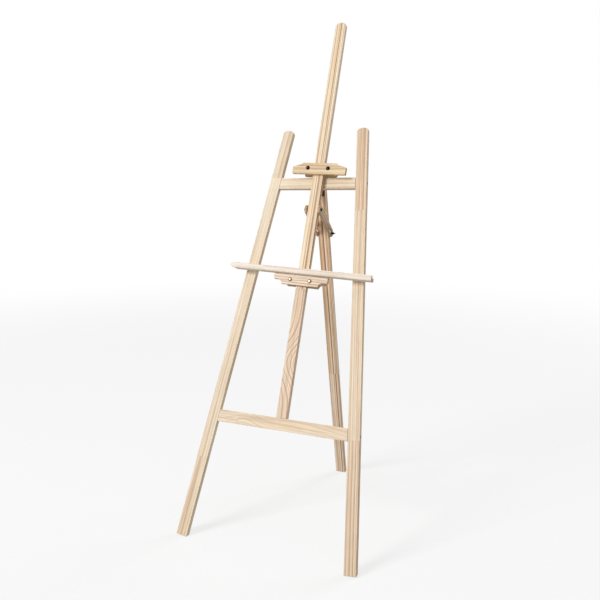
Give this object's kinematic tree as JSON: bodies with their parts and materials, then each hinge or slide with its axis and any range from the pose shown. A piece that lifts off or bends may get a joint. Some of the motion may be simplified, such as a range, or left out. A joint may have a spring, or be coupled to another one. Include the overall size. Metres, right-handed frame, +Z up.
{
  "type": "tripod field easel",
  "caption": "Folding wooden tripod easel with a leaning front frame, sliding mast tray and canvas clamp, hinged rear leg and slotted brace.",
  "frame": {"origin": "on the floor, at the middle of the footprint", "axes": "+Z up, the easel faces -Y, +X to the right seen from the front"},
  "size_m": [0.5564, 0.6339, 1.5165],
  "materials": {
    "frame_pine": "planed, unfinished pine",
    "rear_leg_pine": "planed, unfinished pine",
    "strut_pine": "planed, unfinished pine",
    "plate_pine": "sawn and sanded pine",
    "tray_pine": "planed, unfinished pine",
    "hinge_steel": "dark bronze plated",
    "screw_steel": "plated",
    "zinc_steel": "yellow zinc plated",
    "black_steel": "black"
  },
  "bodies": {
    "frame": {"left_leg": "frame_pine", "right_leg": "frame_pine", "upper_crossbar": "frame_pine", "lower_crossbar": "frame_pine", "mast": "frame_pine", "hinge_fixed_leaf": "hinge_steel", "hinge_pin": "hinge_steel", "hinge_crossbar_screw_left": "hinge_steel", "hinge_crossbar_screw_right": "hinge_steel", "upper_crossbar_screw_left": "black_steel", "upper_crossbar_screw_right": "black_steel", "lower_crossbar_screw_left": "black_steel", "lower_crossbar_screw_right": "black_steel", "mast_top_screw_low": "screw_steel", "mast_top_screw_high": "screw_steel", "mast_foot_screw": "screw_steel", "brace_pivot_bolt": "black_steel", "brace_pivot_nut": "black_steel", "brace_pivot_spacer": "screw_steel"},
    "rear_leg": {"rear_leg": "rear_leg_pine", "hinge_moving_leaf": "hinge_steel", "hinge_leg_screw_left": "hinge_steel", "hinge_leg_screw_right": "hinge_steel", "brace_clamp_bolt": "black_steel", "brace_clamp_spacer": "screw_steel", "brace_washer_left": "screw_steel", "brace_washer_right": "screw_steel"},
    "brace_struts": {"brace_left_strut": "strut_pine", "brace_right_strut": "strut_pine"},
    "brace_wing_nut": {"brace_wing_nut": "black_steel"},
    "canvas_clamp": {"clamp_front_plate": "plate_pine", "clamp_rear_plate": "plate_pine", "clamp_bolt_left": "black_steel", "clamp_bolt_right": "black_steel", "clamp_washer_left": "black_steel", "clamp_washer_right": "black_steel"},
    "clamp_wing_nut_left": {"clamp_wing_nut_left": "black_steel"},
    "clamp_wing_nut_right": {"clamp_wing_nut_right": "black_steel"},
    "tray": {"tray_bar": "tray_pine", "tray_front_bracket": "plate_pine", "tray_rear_bracket": "plate_pine", "tray_bolt_left": "zinc_steel", "tray_bolt_right": "zinc_steel", "tray_washer_left": "zinc_steel", "tray_washer_right": "zinc_steel", "tray_ledge_screw_left": "screw_steel", "tray_ledge_screw_right": "screw_steel"},
    "tray_wing_nut_left": {"tray_wing_nut_left": "zinc_steel"},
    "tray_wing_nut_right": {"tray_wing_nut_right": "zinc_steel"}
  },
  "joints": [
    {"name": "rear_leg_fold", "type": "hinge", "parent": "frame", "child": "rear_leg", "pos_m": [0.004, 0.08365, 0.99728], "axis": [1, 0, 0], "range_deg": [-31.9, 0]},
    {"name": "brace_swing", "type": "hinge", "parent": "frame", "child": "brace_struts", "pos_m": [0, 0.03622, 0.9377], "axis": [1, 0, 0], "range_deg": [-41.33, 0]},
    {"name": "brace_nut_turn", "type": "hinge", "parent": "rear_leg", "child": "brace_wing_nut", "pos_m": [0.035, 0.12309, 0.86256], "axis": [1, 0, 0], "continuous": true},
    {"name": "clamp_slide", "type": "slide", "parent": "frame", "child": "canvas_clamp", "axis": [0.0092, 0.3387, 0.9408], "range_m": [0, 0.45]},
    {"name": "clamp_nut_left_turn", "type": "hinge", "parent": "canvas_clamp", "child": "clamp_wing_nut_left", "pos_m": [-0.02561, 0.09946, 1.04934], "axis": [0.0002, 0.9409, -0.3387], "continuous": true},
    {"name": "clamp_nut_right_turn", "type": "hinge", "parent": "canvas_clamp", "child": "clamp_wing_nut_right", "pos_m": [0.04013, 0.09847, 1.04661], "axis": [0.0002, 0.9409, -0.3387], "continuous": true},
    {"name": "tray_slide", "type": "slide", "parent": "frame", "child": "tray", "axis": [0.0092, 0.3387, 0.9408], "range_m": [-0.375, 0.17]},
    {"name": "tray_nut_left_turn", "type": "hinge", "parent": "tray", "child": "tray_wing_nut_left", "pos_m": [-0.03101, -0.01846, 0.7218], "axis": [0.0002, 0.9409, -0.3387], "continuous": true},
    {"name": "tray_nut_right_turn", "type": "hinge", "parent": "tray", "child": "tray_wing_nut_right", "pos_m": [0.03213, -0.01941, 0.71918], "axis": [0.0002, 0.9409, -0.3387], "continuous": true}
  ],
  "couplings": [
    {"joint": "brace_swing", "follows": "rear_leg_fold", "ratio": 1.295}
  ]
}
